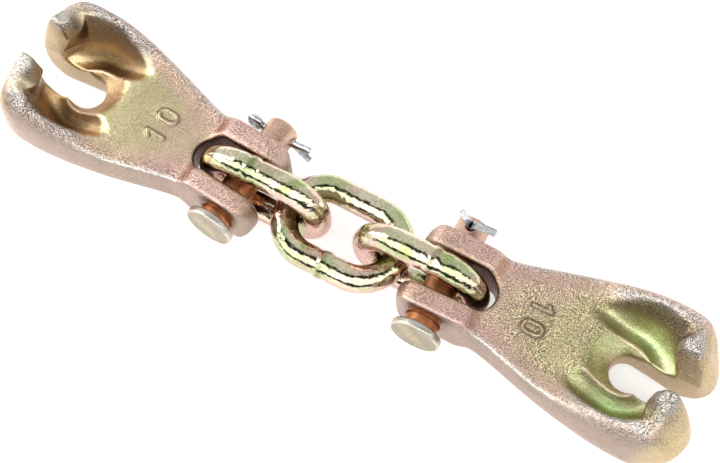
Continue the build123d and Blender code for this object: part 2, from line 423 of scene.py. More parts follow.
def outline_points():
    """Half the outline, from the ear's end round to the horn end's middle."""
    turn = np.linspace(0, pi / 2, 10)
    corner_u = EAR_CORNER_R - EAR_END - EAR_CORNER_R * np.cos(turn)
    corner_v = EAR_HALF_WIDTH - EAR_CORNER_R + EAR_CORNER_R * np.sin(turn)
    points = [np.array((-EAR_END, 0.0))] + list(np.stack([corner_u, corner_v], 1))
    shape = [np.array(p, float) for p in ((EAR_STRAIGHT_TO, EAR_HALF_WIDTH),) + OUTLINE]
    mirrored = shape + [shape[-2] * (1, -1)]
    for k in range(1, len(shape) - 1):
        before, a, b, after = mirrored[k - 1], mirrored[k], mirrored[k + 1], mirrored[k + 2]
        for t in np.linspace(0, 1, 8, endpoint=False):
            pull = a + 0.5 * t * (b - before) + t * t * (before - 2.5 * a + 2 * b - 0.5 * after)
            points.append(pull + t**3 * (1.5 * a - 0.5 * before - 1.5 * b + 0.5 * after))
    points.append(shape[-1])
    return np.array(points)


def inset_from_outline(plan):
    """How far each plan point lies inside the outline."""
    line = outline_points()
    v = abs(plan.vv)
    nearest = np.full(v.shape, 1e9)
    for a, b in zip(line[:-1], line[1:]):
        way = b - a
        along = np.clip(((plan.uu - a[0]) * way[0] + (v - a[1]) * way[1]) / (way @ way), 0, 1)
        gap = np.hypot(plan.uu - a[0] - along * way[0], v - a[1] - along * way[1])
        nearest = np.minimum(nearest, gap)
    order = np.argsort(line[:, 0], kind="stable")
    half_width = np.interp(plan.uu, line[order, 0], line[order, 1], left=-1, right=-1)
    return np.where(v < half_width, nearest, -nearest)


def shoulder(inset, reach, low, high, power=SHOULDER_POWER):
    """Height that climbs from low at the outline to high at reach inside it, as a round shoulder."""
    t = np.clip(1 - inset / reach, 0, 1)
    return low + (high - low) * (1 - t**power) ** (1 / power)


def numeral_height(plan):
    """The raised figures 1 and 0, reading across the plate: their height, and nearness to their edges."""
    across = -plan.vv
    up = plan.uu - NUMERAL_AT
    half = NUMERAL_STROKE / 2
    reach = NUMERAL_HEIGHT / 2 - half
    one = across + NUMERAL_PITCH / 2
    stem = np.hypot(abs(one), np.maximum(abs(up) - reach, 0)) - half
    flag_x, flag_y = NUMERAL_FLAG_WAY
    t = np.clip((flag_x * one + flag_y * (up - reach)) / NUMERAL_FLAG, 0, 1) * NUMERAL_FLAG
    flag = np.hypot(one - flag_x * t, up - reach - flag_y * t) - half
    ring_r = NUMERAL_WIDTH / 2 - half
    ring_x = across - NUMERAL_PITCH / 2
    ring = abs(np.hypot(ring_x, np.maximum(abs(up) - reach + ring_r, 0)) - ring_r) - half
    edge = np.minimum(np.minimum(stem, flag), ring)
    height = NUMERAL_PROUD * (1 - ramp(-NUMERAL_EDGE, NUMERAL_EDGE, edge))
    return height, np.exp(-(((edge - NUMERAL_OUTLINE_AT) / NUMERAL_OUTLINE_WIDTH) ** 2))


def upper_side(plan, inset, rise, end):
    """Height of the plate, the ridges and the horn tips, before the hollows are cut."""
    u, v = plan.uu, abs(plan.vv)
    crest = PLATE_HALF_T + (HORN_TOP - PLATE_HALF_T) * rise
    crest = crest + TIP_RISE * (1 - ramp(*TIP_ACROSS, v)) * ramp(*TIP_ALONG, u)
    reach = SMALLEST_EDGE_R + (CREST_INSET - SMALLEST_EDGE_R) * rise
    reach = reach + (CREST_END_INSET - reach) * end
    foot = PLATE_SHOULDER + (HORN_SHOULDER - PLATE_SHOULDER) * rise
    foot = foot + (HORN_END_SHOULDER - foot) * end
    flank = 1 - ramp(0, RIDGE_FLANK, inset - reach) * (1 - ramp(*BEAK_ALONG, u))
    ridge = PLATE_HALF_T + (crest - PLATE_HALF_T) * flank
    power = SHOULDER_POWER + (END_POWER - SHOULDER_POWER) * end
    return np.where(inset < reach, shoulder(inset, reach, foot, crest, power), ridge)


def lower_side(plan, inset, rise, end, boss):
    """Height of the underside: flat below the ears and plate, deepening to the toe."""
    reach = SMALLEST_EDGE_R + (UNDER_EDGE_R - SMALLEST_EDGE_R) * rise
    reach = reach + (TOE_R - reach) * end
    deep = ramp(BOTTOM_FROM, BOTTOM_TO, plan.uu)
    floor = -PLATE_HALF_T + (HORN_BOTTOM + PLATE_HALF_T) * deep - boss
    return -shoulder(inset, reach, -floor - reach, -floor)


def hollows(plan):
    """Height of the two pockets and the recess round the slot, and nearness to the fold between them."""
    u, v = plan.uu, abs(plan.vv)
    radial = np.where(u < GROOVE_CENTRE, v, np.hypot(u - GROOVE_CENTRE, v))
    off = radial - GROOVE_R
    wall = np.where(off > 0, off**2 / GROOVE_OUTER_WALL, off**2 / GROOVE_INNER_WALL)
    beak_wall = off**2 / BEAK_WALL + BEAK_STEEP * np.maximum(radial - BEAK_REACH, 0) ** 2
    by_beak = (1 - ramp(*BEAK_TURN, np.arctan2(v, u - GROOVE_CENTRE))) * (off > 0)
    wall = wall + (beak_wall - wall) * by_beak
    run_up = GROOVE_RAMP_SLOPE * smooth_max(GROOVE_RAMP_TO - u, 0, GROOVE_RAMP_ROUND)
    groove = GROOVE_FLOOR + run_up + wall
    along = (u - SLOT_CENTRE) * np.where(u > SLOT_CENTRE, RECESS_STRETCH, 1)
    recess = GROOVE_FLOOR + RECESS_SLOPE * (np.hypot(along, v) - SLOT_HALF_WIDTH)
    hollow = np.minimum(smooth_min(groove, recess, FOLD_ROUND), OPEN_AIR)
    fold = np.exp(-(((groove - recess) / FOLD_WIDTH) ** 2)) * (hollow < PLATE_HALF_T)
    return hollow, fold


def through_cuts(plan):
    """How far each plan point is outside the slot between the horns, and outside the clevis gap."""
    u, v = plan.uu, abs(plan.vv)
    half = SLOT_HALF_WIDTH - SLOT_NARROWS * ramp(*SLOT_NARROWS_ALONG, u)
    half = half + SLOT_FLARE * ramp(*SLOT_FLARE_ALONG, u)
    slot = np.where(u < SLOT_CENTRE, np.hypot(u - SLOT_CENTRE, v) - SLOT_HALF_WIDTH, v - half)
    centre = CLEVIS_END - CLEVIS_HALF_GAP
    clevis = np.where(u < centre, v, np.hypot(u - centre, v)) - CLEVIS_HALF_GAP
    return slot, clevis


def hook_plan():
    """The plan fields that the hook's solid, its colours and its grain are read from."""
    plan = Plan()
    u, v = plan.uu, abs(plan.vv)
    inset = inset_from_outline(plan) + OUTLINE_UNEVEN * lumps(plan.flat, *OUTLINE_LUMPS)
    end = ramp(*END_TURN, np.gradient(-inset, plan.STEP, axis=0)) * ramp(*END_ALONG, u)
    rise = ramp(RISE_FROM, RISE_TO, u)
    boss = (EAR_HALF_HEIGHT - PLATE_HALF_T) * (1 - ramp(EAR_FADE_FROM, EAR_FADE_TO, u))
    figures, figure_edge = numeral_height(plan)
    uneven = PLATE_UNEVEN * lumps(plan.flat, *PLATE_LUMPS) * ramp(*PLATE_ALONG, u)
    hollow, fold = hollows(plan)
    slot, clevis = through_cuts(plan)
    fields = {
        "inset": inset,
        "top": upper_side(plan, inset, rise, end) + boss + figures + uneven,
        "bottom": lower_side(plan, inset, rise, end, boss),
        "hollow": hollow,
        "slot": slot,
        "clevis": clevis,
        "beak": ramp(*BEAK_ALONG, u) * (1 - ramp(*BEAK_ACROSS, v)),
        "figure_edge": figure_edge,
        "fold": fold,
    }
    for name in ("top", "bottom", "hollow"):
        du, dv = np.gradient(fields[name], plan.STEP)
        fields[name + "_steep"] = np.clip(np.sqrt(1 + du**2 + dv**2), 1, STEEPEST)
    return plan, fields


def hook_fields_at(plan, fields, p):
    """The value of every plan field above or below each point."""
    return {name: plan.read(values, p[..., 0], p[..., 1]) for name, values in fields.items()}


def make_hook_field():
    """The hook's solid as a field over points (u, v, w): negative inside."""
    plan, fields = hook_plan()

    def field(p):
        here = hook_fields_at(plan, fields, p)
        u, w = p[..., 0], p[..., 2]
        above = (w - here["top"]) / here["top_steep"]
        below = (here["bottom"] - w) / here["bottom_steep"]
        f = smooth_max(above, below, RIM_ROUND)
        under = u + BEAK_OVERHANG * np.maximum(w - BEAK_FOOT, 0) * here["beak"]
        hollow = plan.read(fields["hollow"], under, p[..., 1])
        steep = plan.read(fields["hollow_steep"], under, p[..., 1])
        f = smooth_max(f, (w - hollow) / steep, RECESS_ROUND / 2)
        f = smooth_max(f, -here["inset"], SIDE_ROUND)
        round_end = np.hypot(np.minimum(u, 0), w) - EAR_END - 2 * np.maximum(u - EAR_ROUND_TO, 0)
        f = smooth_max(f, round_end, EAR_ROUND)
        lean = SLOT_LEAN * np.maximum(w, 0) * ramp(*SLOT_LEAN_ALONG, u)
        slot_round = SLOT_ROUND + TIP_ROUND * ramp(*TIP_ROUND_ALONG, u)
        f = smooth_max(f, lean - here["slot"], slot_round)
        f = smooth_max(f, -here["clevis"], CLEVIS_ROUND)
        return smooth_max(f, BORE_R - np.hypot(u, w), BORE_ROUND)

    return field, plan, fields


def build_hook():
    """Points, normals, quads and plan values of one hook in its own frame."""
    field, plan, fields = make_hook_field()
    points, quads = surface_nets(field, HOOK_GRID_LOW, HOOK_GRID_HIGH, HOOK_VOXEL)
    points, normals = relaxed(field, points, quads)
    return points, normals, quads, hook_fields_at(plan, fields, points)


# ---------------------------------------------------------------- hook colours

TAN = colour(220, 208, 162)
YELLOW_GREEN = colour(206, 194, 152)
PINK = colour(226, 184, 180)
PEACH = colour(184, 168, 152)
# Painted highlight for the crests, tips and rims.
SILVER_HIGHLIGHT = colour(226, 220, 215)
PALE_END = colour(232, 214, 158)
# Painted shade for the crease at the foot of the ears.
CREASE_SHADE_BROWN = colour(176, 120, 82)
FIGURE_OUTLINE_DARK = colour(84, 66, 54)
# Painted shadow for the walls inside the clevis.
SHADE = colour(92, 62, 46)
GOLD = colour(252, 216, 166)
OLIVE = colour(118, 94, 58)
LEAF = colour(212, 238, 168)
AQUA = colour(236, 240, 184)
# Painted highlight for the fold between the pockets and the recess.
FOLD_HIGHLIGHT = colour(250, 222, 200)
SLOT_WALL = colour(226, 206, 162)

# Where the hook's colours and grain lie, as (from, to) in the hook's u, v and w, in the inset from its
# outline, or in tilt, which is 1 where the surface faces up.
TOP_W = 5
PLATE_W = 3
PLATE_TOP_W = (4.5, 6)
PLATE_EDGE_INSET = (3, 12)
PLATE_GRAIN_INSET = (4, 8)
EAR_BLUSH_U = 10
EAR_BLUSH_FADE = (0, 32)
EAR_GRAIN_U = (8, 16)
EAR_GRAIN_W = (8.5, 10)
SIDE_TILT = (0.25, 0.75)
HORN_END_U = (78, 88)
RIM_FROM_U = 14
RIM_INSET = (0.4, 3.2)
RIM_TILT = (0.3, 0.7)
RIM_GRAIN_AT = 2.6
RIM_GRAIN_WIDTH = 1.5
RIM_GRAIN_U = (12, 20)
# Where the painted silver highlight and the extra grain lie on the crests and tips.
CREST_BAND_AT = 5.2
CREST_BAND_WIDTH = 2.5
CREST_BAND_W = (7.5, 8.6)
CREST_BAND_FROM_U = (45, 58)
CREST_BAND_TO_U = (80, 85)
TIP_BAND_W = (15.5, 18.5)
POCKET_U = (46, 54)
POCKET_W = (1.5, 6.0)
POCKET_INSET = (5, 9)
POCKET_TILT = (0.15, 0.5)
POCKET_FLOOR_V = (8, 13)
POCKET_FLOOR_W = (-3.2, 2.5)
MOUTH_FROM_U = (40, 46)
MOUTH_TO_U = (60, 66)
MOUTH_FROM_W = (0.5, 3.0)
MOUTH_TO_W = (5.6, 6.4)
MOUTH_INSET = (6, 9)
MOUTH_TILT = (0.4, 0.7)
FOLD_TILT = (0.2, 0.5)
SLOT_WALL_T = 1.5
SLOT_WALL_U = (56, 60)
NECK_U = 15.5
NECK_FADE = (2.5, 0.3)
NECK_TILT = (0.3, 0.9)
CLEVIS_SHADE_T = 0.5
CLEVIS_SHADE_TILT = (0.2, 0.6)


def layered(base, count, layers):
    """A colour for each of count points: base, then each (colour, share) laid over it in turn."""
    c = np.tile(base, (count, 1))
    for tone, share in layers:
        c = mixed(c, tone, share)
    return c


def hook_colours(p, n, here, seed, deep, glint):
    """Chromate colours of a hook: by height, tilt and place, broken up by soft noise, with painted highlights
    and painted shade laid in.
    """
    u, v, w = p.T
    upward = n[:, 2]
    inset = here["inset"]
    cloud = lumps(p, 17, seed)
    fine = lumps(p, 6, seed + 1)
    blush = lumps(p, 22, seed + 2) + 0.5 * fine
    side = 1 - ramp(*SIDE_TILT, upward)
    end = ramp(*HORN_END_U, u + 2 * cloud)
    # Painted highlight: a silver line along the rounded top edge, past the ears.
    rim = (1 - ramp(*RIM_INSET, inset)) * ramp(*RIM_TILT, upward) * (u > RIM_FROM_U)
    hollow = (1 - ramp(*POCKET_W, w)) * ramp(*POCKET_U, u)
    hollow = hollow * ramp(*POCKET_TILT, upward) * ramp(*POCKET_INSET, inset)
    pocket_floor = (1 - ramp(*POCKET_FLOOR_W, w + 1.2 * cloud)) * ramp(*POCKET_FLOOR_V, abs(v))
    # Painted highlight where the pockets run out onto the plate.
    mouth_highlight = ramp(*MOUTH_FROM_W, w) * (1 - ramp(*MOUTH_TO_W, w))
    mouth_highlight = mouth_highlight * ramp(*MOUTH_FROM_U, u) * (1 - ramp(*MOUTH_TO_U, u))
    mouth_highlight = mouth_highlight * ramp(*MOUTH_TILT, upward) * ramp(*MOUTH_INSET, inset)
    # Painted shade in the crease where the raised ears meet the plate.
    neck = ramp(*NECK_FADE, abs(u - NECK_U)) * ramp(*NECK_TILT, upward)
    on_top = w > TOP_W
    layers = (
        # The plate: yellow-green clouds, and pink in patches, at its edges and towards the ears.
        (YELLOW_GREEN, ramp(-0.5, 1.0, cloud)),
        (PINK, 0.3 * ramp(0.1, 1.3, blush)),
        (PINK, 0.5 * (1 - ramp(*PLATE_EDGE_INSET, inset)) * (w > PLATE_W)),
        (PINK, 0.6 * (1 - ramp(*EAR_BLUSH_FADE, abs(u - EAR_BLUSH_U) + 4 * fine))),
        # The sides, yellow at the horns' ends, and painted silver highlights along the crests, tips and rims.
        (PEACH, 0.9 * side),
        (PALE_END, side * end),
        # Painted highlight along the crests and on the tips.
        (SILVER_HIGHLIGHT, 0.75 * crest_band(p, here)),
        # Painted highlight along the rims.
        (SILVER_HIGHLIGHT, 0.85 * rim),
        # The pockets, painted highlights where they run out onto the plate and on the fold between them and
        # the recess, and the slot's walls.
        (glint, hollow * (0.75 + 0.25 * np.clip(fine, -1, 1))),
        (deep, hollow * pocket_floor),
        (glint, 0.7 * mouth_highlight),
        # Painted highlight on the fold.
        (FOLD_HIGHLIGHT, 0.75 * here["fold"] * ramp(*FOLD_TILT, upward) * (w < PLATE_HALF_T)),
        (SLOT_WALL, side * (here["slot"] < SLOT_WALL_T) * ramp(*SLOT_WALL_U, u)),
        # A dark line round the figures, painted shade in the crease at the foot of the ears, and painted
        # shadow inside the clevis.
        # A dark line just outside the raised figures' edges.
        (FIGURE_OUTLINE_DARK, 0.6 * here["figure_edge"] * on_top),
        # Painted shade in the ear crease.
        (CREASE_SHADE_BROWN, 0.5 * neck * on_top),
        # Painted shadow on the walls inside the clevis.
        (SHADE, 0.85 * (here["clevis"] < CLEVIS_SHADE_T) * (1 - ramp(*CLEVIS_SHADE_TILT, abs(upward)))),
    )
    # Painted shade: faces tilting away from straight up are made up to 30% darker; the small noise on it is
    # random tone.
    tilted = 1 - ramp(0.5, 0.97, upward)
    shade = (1 + 0.05 * fine) * (1 - 0.3 * tilted)
    return layered(TAN, len(p), layers) * shade[:, None]


def crest_band(p, here):
    """1 along the middle of each horn's crest and on its tip, fading out to both sides: where the painted
    silver highlight and the extra grain lie.
    """
    u, _, w = p.T
    uneven = lumps(p, *CREST_LUMPS)
    off_crest = (here["inset"] - CREST_BAND_AT + 0.5 * uneven) / CREST_BAND_WIDTH
    along = np.exp(-(off_crest**2)) * ramp(*CREST_BAND_W, w) * ramp(*CREST_BAND_FROM_U, u)
    tip = ramp(*TIP_BAND_W, w + 0.6 * uneven)
    return np.clip(along * (1 - ramp(*CREST_BAND_TO_U, u)) + tip, 0, 1)


def hook_grain(p, here, plain, worn):
    """How coarse the grain is at each point: plain on the plate, more by worn on the crests and rims."""
    u, _, w = p.T
    rim = np.exp(-(((here["inset"] - RIM_GRAIN_AT) / RIM_GRAIN_WIDTH) ** 2))
    rim = rim * ramp(*PLATE_TOP_W, w) * ramp(*RIM_GRAIN_U, u)
    ears = ramp(*EAR_GRAIN_W, w) * (1 - ramp(*EAR_GRAIN_U, u))
    plate = ramp(*PLATE_GRAIN_INSET, here["inset"]) * ramp(*PLATE_TOP_W, w) * ramp(*PLATE_ALONG, u)
    rough = np.clip(crest_band(p, here) + 0.6 * rim + 0.2 * ears, 0, 1)
    return 1.0 + (plain - 1.0) * plate + worn * rough * (1 - 0.5 * plate)


# ---------------------------------------------------------------- links and pins

def link_points(weld_at, seed, around=44, along=260):
    """A link in the XZ plane, welded on its +Z bar at x = weld_at: points, quads, normals, weld shares."""
    length = 4 * HALF_STRAIGHT + 2 * pi * BEND_R
    s = np.linspace(0, length, along, endpoint=False)
    arc = pi * BEND_R
    bar = 2 * HALF_STRAIGHT
    spots, outward = [], []
    for at in s:
        if at < bar:
            spots.append((at - HALF_STRAIGHT, BEND_R))
            outward.append((0, 1))
        elif at < bar + arc:
            turn = (at - bar) / BEND_R
            outward.append((sin(turn), cos(turn)))
            spots.append((HALF_STRAIGHT + BEND_R * sin(turn), BEND_R * cos(turn)))
        elif at < 2 * bar + arc:
            spots.append((HALF_STRAIGHT - (at - bar - arc), -BEND_R))
            outward.append((0, -1))
        else:
            turn = (at - 2 * bar - arc) / BEND_R
            outward.append((-sin(turn), -cos(turn)))
            spots.append((-HALF_STRAIGHT - BEND_R * sin(turn), -BEND_R * cos(turn)))
    spots, outward = np.array(spots), np.array(outward, float)
    turn = np.linspace(0, 2 * pi, around, endpoint=False)
    ring = np.cos(turn)[None, :, None] * outward[:, None, :]
    unit = np.stack([ring[..., 0], np.broadcast_to(np.sin(turn), (along, around)), ring[..., 1]], -1)
    centre = np.stack([spots[:, 0], np.zeros(along), spots[:, 1]], 1)[:, None, :]
    rough = centre + unit * WIRE_R
    to_weld = (s - (weld_at + HALF_STRAIGHT))[:, None] + 0.5 * lumps(rough, 3.5, seed)
    weld = 1 - ramp(*WELD_SPREAD, abs(to_weld) / WELD_HALF_LENGTH)
    weld = weld * (0.75 + 0.25 * lumps(rough, 2.2, seed + 1))
    pinch = WELD_PINCH * np.exp(-(((abs(to_weld) - WELD_PINCH_AT) / WELD_PINCH_WIDTH) ** 2))
    bent = abs(outward[:, :1])
    radius = WIRE_R - LINK_CLEARANCE - BEND_THINNING * bent
    radius = radius + LINK_WAVES * lumps(rough, 7, seed + 2) + LINK_RIPPLES * lumps(rough, 2.5, seed + 3)
    radius = radius + WELD_PROUD * np.clip(weld, 0, 1.2) - pinch
    points = (centre + unit * radius[..., None]).reshape(-1, 3)
    i = np.arange(along)[:, None] * around
    after = (np.arange(along)[:, None] + 1) % along * around
    j = np.arange(around)[None, :]
    k = (j + 1) % around
    quads = np.stack([i + j, i + k, after + k, after + j], -1).reshape(-1, 4)
    return points, quads, unit.reshape(-1, 3), np.clip(weld, 0, 1).ravel()


LINK_GREEN = colour(180, 188, 146)
LINK_YELLOW = colour(210, 202, 176)
LINK_LEAF = colour(150, 172, 96)
LINK_PINK = colour(208, 172, 164)
WELD_DARK = colour(92, 92, 46)


def link_colours(p, n, up, weld, seed):
    """Chromate colours of a link: green and yellow on top, pink on its sides, dark at the weld."""
    tilt = n @ up
    cloud = lumps(p, 9, seed)
    return layered(LINK_YELLOW, len(p), (
        (LINK_GREEN, ramp(-0.6, 0.6, cloud)),
        (LINK_LEAF, 0.7 * ramp(0.3, 1.2, lumps(p, 6, seed + 1))),
        (LINK_PINK, 0.6 * ramp(0.2, 1.0, lumps(p, 7, seed + 2))),
        (LINK_PINK, 0.8 * (1 - ramp(-0.1, 0.55, tilt + 0.2 * cloud))),
        (WELD_DARK, 0.65 * weld),
    ))


def pin_field(hole_turn):
    """A clevis pin along +y, the underside of its head at y = 0, its cross hole turned by hole_turn."""
    way = (cos(hole_turn), -sin(hole_turn))

    def field(p):
        x, y, z = p[..., 0], p[..., 1], p[..., 2]
        r = np.hypot(x, z)
        head = smooth_max(r - PIN_HEAD_R, abs(y + PIN_HEAD_T / 2) - PIN_HEAD_T / 2, PIN_HEAD_ROUND)
        shank = smooth_max(r - PIN_R, y - PIN_LENGTH, PIN_END_ROUND)
        shank = np.maximum(shank, -y - PIN_ROOT)
        f = smooth_min(head, shank, PIN_FILLET)
        across = x * way[1] - z * way[0]
        hole = np.hypot(across, y - PIN_LENGTH + SPLIT_HOLE_FROM_END) - SPLIT_HOLE_R
        return smooth_max(f, -hole, PIN_FILLET) + PIN_UNEVEN * lumps(p, *PIN_LUMPS)

    return field


PIN_FACE = colour(146, 141, 121)
PIN_SHANK = colour(196, 132, 88)
PIN_TIP = colour(205, 170, 150)
PIN_RIM_HIGHLIGHT = colour(222, 216, 208)
SPLIT_ZINC = colour(205, 207, 208)


def pin_colours(p, seed):
    """A pin's colours: beige head, orange shank beneath it, pinkish far end, and a painted highlight round
    the head's rim.
    """
    y = p[:, 1]
    r = np.hypot(p[:, 0], p[:, 2])
    return layered(PIN_SHANK, len(p), (
        (PIN_TIP, ramp(20, 36, y + 2 * lumps(p, 6, seed))),
        (PIN_FACE, 1 - ramp(-0.5, 0.3, y)),
        # Painted highlight round the rounded rim of the head.
        (PIN_RIM_HIGHLIGHT, 0.6 * ramp(7.9, 8.6, r)),
        (YELLOW_GREEN, 0.35 * ramp(0, 1, lumps(p, 8, seed + 1))),
    ))


def walk(start, heading, moves):
    """Points of a flat path: each move is (length, turn in degrees), a straight or an arc."""
    at, way = np.array(start, float), radians(heading)
    path, ways = [at.copy()], [way]
    for length, turn in moves:
        steps = max(2, round(length / SPLIT_STEP))
        for _ in range(steps):
            way += radians(turn) / steps / 2
            at = at + length / steps * np.array((cos(way), sin(way)))
            way += radians(turn) / steps / 2
            path.append(at.copy())
            ways.append(way)
    return np.array(path), np.array(ways)


def half_round_tube(path, ways, flat_side, around=20):
    """A half-round wire along a path in the XZ plane; flat_side is 1 if its flat is on the path's left."""
    turn = np.linspace(0, 2 * pi, around, endpoint=False)
    out, across = np.cos(turn), np.sin(turn)
    bulge = np.where(out > 0, out, 0) * (1 - SPLIT_FLAT_PROUD) + SPLIT_FLAT_PROUD * np.abs(out)
    left = np.stack([-np.sin(ways), np.cos(ways)], 1)
    points = []
    last = len(path) - 1
    for k, (at, side) in enumerate(zip(path, left)):
        shrink = SPLIT_END_SHRINK if k in (0, last) else 1
        offset = -flat_side * (bulge * shrink) * SPLIT_WIRE_R
        wide = across * SPLIT_WIRE_R * shrink
        points.append(np.stack([at[0] + side[0] * offset, wide, at[1] + side[1] * offset], 1))
    points = np.concatenate(points)
    j = np.arange(around)
    nxt = (j + 1) % around
    quads = []
    for k in range(last):
        here, after = k * around, (k + 1) * around
        quads.append(np.stack([here + j, here + nxt, after + nxt, after + j], 1))
    return points, np.concatenate(quads), around


def capped(points, quads, around):
    """Adds a middle point and a fan of quads to both open ends of a tube."""
    ends = []
    for first in (0, len(points) - around):
        middle = points[first : first + around].mean(0)
        points = np.vstack([points, middle])
        j = np.arange(0, around, 2)
        hub = np.full(len(j), len(points) - 1)
        fan = np.stack([first + j, first + (j + 1) % around, first + (j + 2) % around, hub], 1)
        ends.append(fan[:, ::-1] if first == 0 else fan)
    return points, np.concatenate([quads] + ends)


def split_pin_shape(splay):
    """A split pin along +x, its eye at -x, made of two legs and the eye."""
    parts = []
    for side, angle in ((1, splay[0]), (-1, splay[1])):
        arc = SPLIT_BEND_R * radians(angle)
        moves = [(2 * SPLIT_START, 0), (arc, side * angle), (SPLIT_LEG, side * SPLIT_LEG_CURL)]
        path, ways = walk((-SPLIT_START, side * SPLIT_HALF_GAP), 0, moves)
        parts.append(capped(*half_round_tube(path, ways, -side)))
    turn = np.degrees(np.arccos((SPLIT_HALF_GAP + SPLIT_NECK_R) / (SPLIT_EYE_R + SPLIT_NECK_R)))
    neck = (SPLIT_NECK_R * radians(turn), -turn)
    loop = (SPLIT_EYE_R * radians(180 + 2 * turn), 180 + 2 * turn)
    path, ways = walk((-SPLIT_START, SPLIT_HALF_GAP), 180, [neck, loop, neck])
    parts.append(capped(*half_round_tube(path, ways, 1)))
    points, quads, count = [], [], 0
    for p, q in parts:
        points.append(p)
        quads.append(q + count)
        count += len(p)
    return np.concatenate(points), np.concatenate(quads)


# ---------------------------------------------------------------- materials

# Parts of the noises' 0 to 1: pits below the first of the pair, peaks above the second.
PIT_RANGE = (0.44, 0.56)
WAVE_RANGE = (0.3, 0.7)
ROUGHNESS_SPREAD = (0.8, 1.25)


def add_node(tree, kind, inputs=None, **settings):
    """Adds a shader node and returns its outputs. inputs maps sockets to constants or to other outputs."""
    node = tree.nodes.new(kind)
    for key, value in settings.items():
        setattr(node, key, value)
    for key, value in (inputs or {}).items():
        if isinstance(value, bpy.types.NodeSocket):
            tree.links.new(value, node.inputs[key])
        else:
            node.inputs[key].default_value = value
    return node.outputs


def plated(name, roughness, grain, grain_depth, wave_scale, wave_depth, sparkle, edge):
    """Zinc-plated steel. The mesh's tint gives its colour, and in its alpha the amount of grain."""
    material = bpy.data.materials.new(name)
    material.use_nodes = True
    tree = material.node_tree
    shader = tree.nodes["Principled BSDF"].inputs
    shader["Metallic"].default_value = 1.0
    shader["Specular Tint"].default_value = (*edge, 1)

    place = add_node(tree, "ShaderNodeTexCoord")["Object"]
    tint = add_node(tree, "ShaderNodeVertexColor", layer_name="tint")
    fine = {"Vector": place, "Scale": grain, "Detail": 3.0, "Roughness": 0.65}
    speck = add_node(tree, "ShaderNodeTexNoise", fine)["Fac"]
    broad = {"Vector": place, "Scale": wave_scale, "Detail": 2.0, "Roughness": 0.5}
    wave = add_node(tree, "ShaderNodeTexNoise", broad)["Fac"]

    # Specks: darker in the grain's pits, lighter on its peaks, by the amount of grain.
    low, high = PIT_RANGE
    pit = {"Value": speck, "From Min": low, "From Max": high, "To Min": sparkle, "To Max": 0.0}
    pit = add_node(tree, "ShaderNodeMapRange", pit, clamp=False)["Result"]
    less = add_node(tree, "ShaderNodeMath", {0: tint["Alpha"], 1: -1.0}, operation="MULTIPLY")["Value"]
    dark = add_node(tree, "ShaderNodeMath", {0: pit, 1: less, 2: 1.0}, operation="MULTIPLY_ADD")["Value"]
    shade = {"Factor": 1.0, "A": tint["Color"], "B": dark}
    shade = add_node(tree, "ShaderNodeMix", shade, data_type="RGBA", blend_type="MULTIPLY")["Result"]
    tree.links.new(shade, shader["Base Color"])

    low, high = WAVE_RANGE
    least, most = ROUGHNESS_SPREAD
    rough = {"Value": wave, "From Min": low, "From Max": high}
    rough |= {"To Min": roughness * least, "To Max": roughness * most}
    tree.links.new(add_node(tree, "ShaderNodeMapRange", rough)["Result"], shader["Roughness"])

    swell = {"Strength": 1.0, "Distance": wave_depth, "Height": wave}
    swell = add_node(tree, "ShaderNodeBump", swell)["Normal"]
    rise = add_node(tree, "ShaderNodeMath", {0: speck, 1: tint["Alpha"]}, operation="MULTIPLY")["Value"]
    close = {"Strength": 1.0, "Distance": grain_depth, "Height": rise, "Normal": swell}
    tree.links.new(add_node(tree, "ShaderNodeBump", close)["Normal"], shader["Normal"])
    return material


def finish_piece(piece, body, node, material):
    """Gives a piece its material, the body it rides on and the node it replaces."""
    piece.data.materials.append(material)
    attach(piece, body)
    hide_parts(node)


# ---------------------------------------------------------------- places, read from the frame

def axes_matrix(x, y, z, origin):
    """The matrix that carries the axes and the origin to these."""
    turn = Matrix((x, y, z)).transposed().to_4x4()
    turn.translation = origin
    return turn


def joint(name):
    """The frame's joint of that name."""
    return next(j for j in frame["joints"] if j["name"] == name)


def mount(name):
    """The frame's mount of that name."""
    return next(m for m in frame["record"]["mounts"] if m["name"] == name)


def pin_axis(side):
    """Where a hook's pin axis is and which way it points, from head to split pin."""
    swing = joint(side + "_hook_swing")
    return Vector(swing["pos_m"]), Vector(swing["axis"]).normalized()


def hook_place(side):
    """The hook's own frame in the row frame."""
    at, pin_way = pin_axis(side)
    w = Vector(mount(side + "_chain_seat")["axis"]).normalized()
    v = pin_way if side == "right" else -pin_way
    v = (v - w * v.dot(w)).normalized()
    return axes_matrix(v.cross(w), v, w, at)


def link_place(node):
    """A link's own frame: x along the chain, z towards its welded bar."""
    low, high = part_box(node)
    middle = (low + high) / 2
    along = Vector((1, 0, 0))
    if node == "middle_link":
        left, right = joint("left_link_swing"), joint("right_link_swing")
        swing = -Vector(left["axis"]).normalized()
        y = Vector((0, swing.z, -swing.y))
        middle = (Vector(left["pos_m"]) + Vector(right["pos_m"])) / 2
        return axes_matrix(along, y, along.cross(y), middle)
    middle.z = low.z + (BEND_R + CAD_WIRE_R) * MM
    return axes_matrix(along, Vector((0, 1, 0)), Vector((0, 0, 1)), middle)


def pin_place(side):
    """The pin's own frame: y from its head's underside to its far end."""
    at, way = pin_axis(side)
    box_low, box_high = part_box(side + "_clevis_pin")
    middle = (box_low + box_high) / 2
    centre = at + way * (middle - at).dot(way)
    under_head = centre - way * ((PIN_LENGTH + PIN_HEAD_T) / 2 - PIN_HEAD_T) * MM
    z = Vector((0, 0, 1))
    return axes_matrix(way.cross(z), way, z, under_head)


# ---------------------------------------------------------------- the pieces

